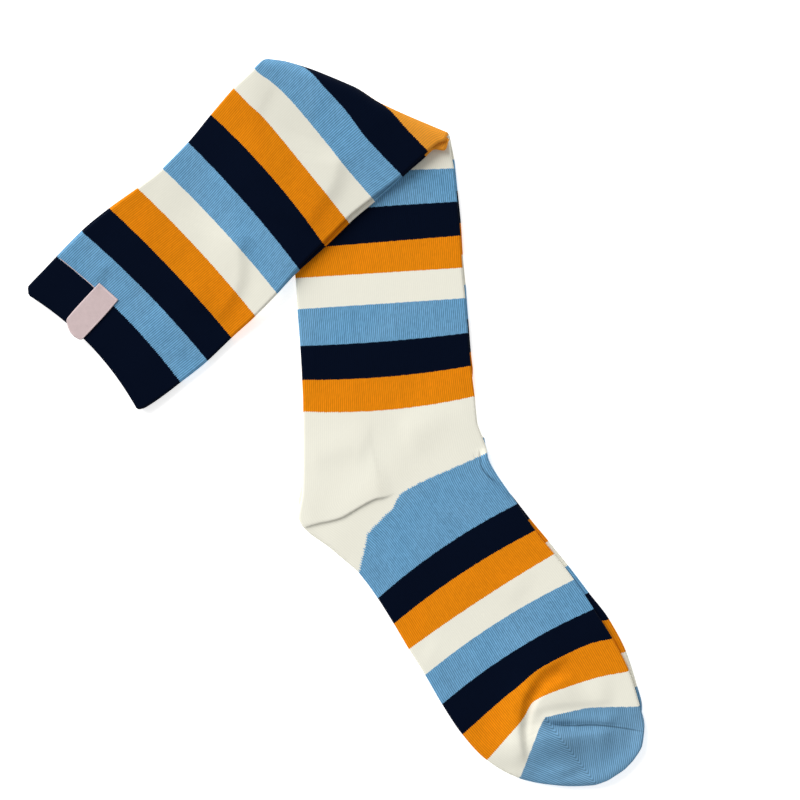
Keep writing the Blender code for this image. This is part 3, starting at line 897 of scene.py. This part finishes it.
def label_half_width(distance):
    """Half the ribbon's width: sides that curve out, and rounded corners at its fold."""
    share = np.clip((distance + LABEL_PROUD) / (LABEL_LENGTH + LABEL_PROUD), 0.0, 1.0)
    half = LABEL_WIDTH / 2 + LABEL_BELLY * (arch(share) - 1.0)
    corner = np.clip(1.0 - (distance + LABEL_PROUD) / LABEL_CORNER, 0.0, 1.0)
    return half - LABEL_CORNER * (1.0 - np.sqrt(1.0 - corner ** 2)) * LABEL_CORNER_CUT


def add_ribbon(surface, lay):
    """The ribbon, folded over the rim of the cuff on top, with firm selvedges."""
    profile = label_profile()
    run = unit(np.gradient(profile, axis=0))
    normal = np.stack((run[:, 1], -run[:, 0]), -1)
    half = label_half_width(profile[:, 0])
    share = np.linspace(-1.0, 1.0, LABEL_STRIPS + 1)
    across = half[:, None] * share
    firm = ease((np.abs(across) - half[:, None] + SELVEDGE) / (SELVEDGE / 2))
    hem = ease((profile[:, 0:1] - LABEL_LENGTH + LABEL_HEM) / (LABEL_HEM / 3))
    thick = LABEL_THICK / 2 * (LABEL_THIN + (1.0 - LABEL_THIN) * np.maximum(firm, hem))
    down = np.array((math.sin(LABEL_TILT), -math.cos(LABEL_TILT)))
    side = np.array((down[1], -down[0]))
    rim, _ = rim_point(LABEL_PLACE)
    wall_middle = lay.middle - SLIT / 2 - WALL / 2
    passed = passed_along(profile)
    skins = []
    bow = LABEL_BOW * (1.0 - share ** 2) - LABEL_SKEW * share
    bow = bow * ease(1.0 - np.maximum(profile[:, 0:1], 0.0) / LABEL_BOW_RUN)
    for face in (1.0, -1.0):
        along = profile[:, 0:1] - bow + face * normal[:, 0:1] * thick
        height = profile[:, 1:2] + face * normal[:, 1:2] * thick
        plan = rim + along[..., None] * down + across[..., None] * side
        placed = lay.place(plan, wall_middle - height, -1.0)
        skins.append(placed if face > 0 else placed[:, ::-1])
    loop = np.concatenate(skins, 1)
    count = loop.shape[1]
    first = surface.add_points(loop)
    spread = np.concatenate((across, across[:, ::-1], across[:, :1]), 1)
    faces, row, column = grid_faces(len(loop), count, first, True)
    surface.add_faces(faces, loops=np.stack((spread[row, column], passed[row]), -1))
    for end, turned in ((0, True), (len(loop) - 1, False)):
        j = np.arange(count // 2 - 1)
        column = np.stack((j, j + 1, count - 2 - j, count - 1 - j), 1)
        if not turned:
            column = column[:, ::-1]
        surface.add_faces(first + end * count + column,
                          loops=np.stack((spread[end, column], passed[end] + column * 0.0), -1))


def add_thread(surface, lay):
    """The thread that runs from the sock's edge to the label, where the cuff ends."""
    part = np.linspace(*THREAD_REACH, THREAD_RINGS)
    plan = Plan(lay.places, np.array((1.0,))).points(part, part * 0.0)
    bottom = lay.middle - TUBE / 2 - THREAD_RADIUS * THREAD_STAND
    middle = lay.place(plan, bottom, -1.0)[0]
    run = unit(np.gradient(middle, axis=0))
    sideways = unit(np.cross(run, (0.0, 0.0, 1.0)))
    up = np.cross(sideways, run)
    angles = (np.arange(THREAD_SIDES) / THREAD_SIDES * math.tau)[None, :, None]
    around = sideways[:, None] * np.cos(angles) + up[:, None] * np.sin(angles)
    tube = middle[:, None] + around * THREAD_RADIUS * MM
    first = surface.add_points(tube)
    faces, row, column = grid_faces(len(tube), THREAD_SIDES, first, False)
    surface.add_faces(faces, loops=np.stack((column * THREAD_RADIUS, row * 1.0), -1))


def make_label(lay):
    surface = Surface()
    add_ribbon(surface, lay)
    add_thread(surface, lay)
    return surface.make("ribbon_label")


# ---- Materials

class Graph:
    """A short way to write a material's nodes."""

    def __init__(self, name):
        self.material = bpy.data.materials.new(name)
        self.material.use_nodes = True
        self.tree = self.material.node_tree
        self.shader = self.tree.nodes["Principled BSDF"]

    def set(self, socket, value):
        if isinstance(value, bpy.types.NodeSocket):
            self.tree.links.new(value, socket)
        else:
            socket.default_value = value

    def add(self, kind, inputs=(), **settings):
        node = self.tree.nodes.new(kind)
        for key, value in settings.items():
            setattr(node, key, value)
        for key, value in dict(inputs).items():
            self.set(node.inputs[key], value)
        return node

    def math(self, operation, a, b=0.0, c=0.0):
        node = self.add("ShaderNodeMath", operation=operation)
        for socket, value in zip(node.inputs, (a, b, c)):
            self.set(socket, value)
        return node.outputs[0]

    def times(self, a, b):
        return self.math("MULTIPLY", a, b)

    def scaled(self, value, scale, plus):
        return self.math("MULTIPLY_ADD", value, scale, plus)

    def uv(self, name):
        maps = self.add("ShaderNodeUVMap", uv_map=name)
        split = self.add("ShaderNodeSeparateXYZ", {0: maps.outputs[0]})
        return split.outputs[0], split.outputs[1]

    def join(self, x, y, z=0.0):
        return self.add("ShaderNodeCombineXYZ", {0: x, 1: y, 2: z}).outputs[0]

    def drift(self, shade, vector, strength, scale, detail=2.0):
        return self.scaled(self.noise(vector, scale, detail), strength, shade)

    def noise(self, vector, scale, detail=2.0):
        """Smooth noise about 0."""
        node = self.add("ShaderNodeTexNoise", {"Vector": vector, "Scale": scale, "Detail": detail})
        return self.math("SUBTRACT", node.outputs["Fac"], 0.5)

    def chance(self, x, y):
        """A number of its own from 0 to 1 for each cell of a grid."""
        cell = self.join(self.math("FLOOR", x), self.math("FLOOR", y))
        node = self.add("ShaderNodeTexWhiteNoise", {"Vector": cell}, noise_dimensions="2D")
        return node.outputs["Value"]

    def mix(self, blend, factor, a, b):
        values = {"Factor": factor, "A": a, "B": b}
        node = self.add("ShaderNodeMix", values, data_type="RGBA", blend_type=blend)
        return node.outputs["Result"]

    def darken(self, colour, shade):
        return self.mix("MULTIPLY", 1.0, colour, self.join(shade, shade, shade))

    def bump(self, height, strength, distance, inputs=(), **settings):
        values = {"Strength": strength, "Distance": distance, "Height": height, **dict(inputs)}
        return self.add("ShaderNodeBump", values, **settings).outputs[0]

    def finish(self, values):
        """The finished material, with its shader's sockets set."""
        for name, value in values.items():
            self.set(self.shader.inputs[name], value)
        return self.material


def yarn_nodes(graph, lower):
    """The stripe at each point, its yarn's colour and variety, and whether it's the toe cap."""
    rib, stripe = graph.uv("stripes")
    # Each rib ends its stripe in a point, so the border between yarns is toothed.
    frayed = graph.scaled(graph.math("PINGPONG", rib, 0.5), 2 * FRAY, stripe)
    frayed = graph.math("SUBTRACT", frayed, FRAY / 2)
    frayed = graph.scaled(graph.chance(rib, 0.0), FRAY / 2, frayed)
    inside = graph.math("MINIMUM", frayed, LAST_STRIPE)
    turn = graph.math("DIVIDE", graph.math("SUBTRACT", inside, 1.0), STRIPES_IN_REPEAT)
    ramp = graph.add("ShaderNodeValToRGB", {0: graph.math("FRACT", turn)})
    ramp.color_ramp.interpolation = "CONSTANT"
    stops = ramp.color_ramp.elements
    for i, (_, red, green, blue, vary, lower_painted_shade) in enumerate(YARNS):
        place = i / STRIPES_IN_REPEAT
        stop = stops[i] if i < 2 else stops.new(place)
        stop.position = place
        # Painted shade: the lower sock's colours are darkened, so that its folded half, which
        # slopes towards the key light, is lit no brighter than the leg.
        depth = lower_painted_shade if lower else 1.0
        stop.color = (red * depth, green * depth, blue * depth, vary)
    navy = (*YARNS[1][1:4], 1.0)
    in_cuff = graph.math("LESS_THAN", inside, 1.0)
    yarn = graph.mix("MIX", in_cuff, ramp.outputs["Color"], navy)
    in_toe = graph.math("GREATER_THAN", inside, TOE_CAP)
    yarn = graph.mix("MIX", in_toe, yarn, (*TOE_YARN, 1.0))
    vary = graph.times(ramp.outputs["Alpha"], graph.math("SUBTRACT", 1.0, in_cuff))
    return inside, yarn, vary, in_toe


def shade_nodes(graph, rib, row, depth, in_toe):
    """The knit's shade: painted shade in the grooves between ribs and in the marks round the loops,
    each loop and each rib a little lighter or darker, short streaks and a slow drift."""
    each_loop = graph.math("SUBTRACT", graph.chance(rib, graph.times(row, 0.5)), 0.5)
    each_rib = graph.math("SUBTRACT", graph.chance(rib, 7.0), 0.5)
    shade = graph.scaled(depth, GROOVE_PAINTED_SHADE, 1.0)
    shade = graph.scaled(each_loop, graph.scaled(in_toe, TOE_LOOP_SHADE, LOOP_SHADE), shade)
    shade = graph.scaled(each_rib, RIB_SHADE, shade)
    along = graph.join(rib, graph.times(row, STREAK_STRETCH))
    shade = graph.drift(shade, along, strength=0.16, scale=0.8)
    spot = graph.join(rib, row)
    shade = graph.drift(shade, spot, strength=0.12, scale=0.06)
    warm = graph.drift(shade, spot, strength=0.18, scale=0.03, detail=1.0)
    cool = graph.drift(shade, spot, strength=-0.06, scale=0.03, detail=1.0)
    return graph.join(warm, shade, cool)


def knit_material(name, lower):
    """Knit in stripes, for the lower sock or the upper one; the lower one's colours are darkened by
    painted shade.
    """
    graph = Graph(name)
    inside, yarn, vary, in_toe = yarn_nodes(graph, lower)
    # Ribs: grooves between them, and loops in a V along each.
    rib, row = graph.uv("loops")
    slope = graph.scaled(graph.math("PINGPONG", rib, 0.5), LOOP_SLOPE, row)
    loops = graph.math("COSINE", graph.times(slope, math.tau))
    depth = graph.scaled(loops, LOOP_DEPTH, graph.math("COSINE", graph.times(rib, math.tau)))
    colour = graph.mix("MULTIPLY", vary, yarn, shade_nodes(graph, rib, row, depth, in_toe))
    # Painted highlight: the orange is paler where it goes over the fold's end.
    over_fold = graph.math("COMPARE", inside, RIDGE_HIGHLIGHT_STRIPE + 0.5, 0.5)
    colour = graph.mix("MIX", graph.times(over_fold, RIDGE_HIGHLIGHT_SHARE), colour, RIDGE_HIGHLIGHT)
    relief = graph.times(depth, graph.scaled(vary, *RELIEF))
    # The stitched and pressed lines are little grooves in the bump, with painted shade along them.
    seam, seam_depth = graph.uv("seams")
    line = graph.math("EXPONENT", graph.times(graph.times(seam, seam), -1.0))
    line = graph.times(line, seam_depth)
    bump = {"Normal": graph.bump(relief, strength=0.3, distance=0.0002)}
    return graph.finish({
        "Base Color": graph.darken(colour, graph.scaled(line, LINE_PAINTED_SHADE, 1.0)),
        "Normal": graph.bump(line, strength=1.0, distance=0.0007, inputs=bump, invert=True),
        "Roughness": 0.9,
        "Specular IOR Level": 0.03,
        "Sheen Weight": 0.012,
        "Sheen Roughness": 0.5,
    })


def ribbon_material():
    """Woven satin: fine ribs across the ribbon, paler firm edges."""
    graph = Graph("ribbon")
    across, along = graph.uv("loops")
    weft = graph.math("SINE", graph.times(along, math.tau / WEFT))
    warp = graph.math("SINE", graph.times(across, math.tau / WARP))
    weave = graph.scaled(warp, WARP_HEIGHT, weft)
    firm = LABEL_WIDTH / 2 - SELVEDGE - LABEL_BELLY
    edge = graph.math("GREATER_THAN", graph.math("ABSOLUTE", across), firm)
    end = graph.math("LESS_THAN", along, LABEL_HEM * RIBBON_END)
    pale = graph.times(graph.math("MAXIMUM", edge, end), RIBBON_EDGE)
    base = graph.mix("MIX", pale, RIBBON, RIBBON_PALE)
    cloud = graph.drift(1.0, graph.join(across, along), strength=0.16, scale=0.35, detail=3.0)
    return graph.finish({
        "Base Color": graph.darken(base, graph.scaled(weave, WEAVE_SHADE, cloud)),
        "Normal": graph.bump(weave, strength=0.35, distance=0.0001),
        "Roughness": 0.5,
        "Specular IOR Level": 0.3,
        "Sheen Weight": 0.08,
    })


def floor_material():
    graph = Graph("pale_floor")
    position = graph.add("ShaderNodeTexCoord").outputs["Object"]
    grain = graph.noise(position, scale=40.0, detail=4.0)
    return graph.finish({
        "Base Color": graph.mix("MIX", grain, (0.98, 0.98, 0.98, 1.0), WHITE),
        "Roughness": 0.95,
        "Specular IOR Level": 0.0,
        "Emission Color": WHITE,
        "Emission Strength": 0.55,
    })


# ---- The stage

def make_floor(half):
    bpy.ops.mesh.primitive_plane_add(size=2 * half)
    floor = bpy.context.object
    floor.name = "floor"
    floor.data.materials.append(floor_material())


def make_light(place, size, power):
    """The soft key light, aimed at the middle of the floor."""
    data = bpy.data.lights.new("key", "AREA")
    data.shape = "DISK"
    data.size = size
    data.energy = power
    light = bpy.data.objects.new("key", data)
    light.location = place
    light.rotation_euler = (-light.location).to_track_quat("-Z", "Y").to_euler()
    bpy.context.scene.collection.objects.link(light)


def make_sky(strength):
    world = bpy.data.worlds.new("studio")
    world.use_nodes = True
    background = world.node_tree.nodes["Background"]
    background.inputs["Color"].default_value = WHITE
    background.inputs["Strength"].default_value = strength
    bpy.context.scene.world = world
    bpy.context.scene.view_settings.view_transform = "Standard"


def make_camera():
    data = bpy.data.cameras.new("camera")
    data.lens = LENS
    data.sensor_width = SENSOR
    camera = bpy.data.objects.new("camera", data)
    height = VIEW_HEIGHT + VIEW_WIDTH * LENS / SENSOR
    camera.location = (VIEW_CENTRE[0] * MM, VIEW_CENTRE[1] * MM, height * MM)
    bpy.context.scene.collection.objects.link(camera)
    bpy.context.scene.camera = camera


def dress(piece, node, material):
    """Give a piece its finish, attach it to the root, and hide the solid it stands for."""
    piece.data.materials.append(material)
    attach(piece, "root")
    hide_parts(node)


def main():
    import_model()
    make_camera()
    make_light(place=(-5.1, 5.1, 5.2), size=7.4, power=896.0)
    make_sky(strength=0.44)
    make_floor(half=6.0)
    shaded_lower_knit = knit_material("knit_lower", True)
    upper_knit = knit_material("knit_upper", False)
    lower_outline = outline(LOWER_PLACES, SUPPORT_START)
    upper_outline = outline(UPPER_PLACES, SUPPORT_START)
    lower = Lay(LOWER_PLACES, 0.0, None, upper_outline)
    upper = Lay(UPPER_PLACES, LAYER, lower_outline, upper_outline)
    lower_rows = row_stripes(LOWER_PLACES, (FOLD_STRETCH[1], TOE_TIP), ())
    upper_rows = row_stripes(UPPER_PLACES, (0.0, FOLD_STRETCH[0]), FINE_STRETCHES)
    knit_lower = make_sock("knit_lower", lower, Ring(SHOWN_STRIPS, HIDDEN_STRIPS), lower_rows)
    knit_upper = make_sock("knit_upper", upper, Ring(HIDDEN_STRIPS, SHOWN_STRIPS), upper_rows)
    label = make_label(lower)
    dress(knit_lower, "sock_lower", shaded_lower_knit)
    dress(knit_upper, "sock_upper", upper_knit)
    dress(label, "label", ribbon_material())


main()
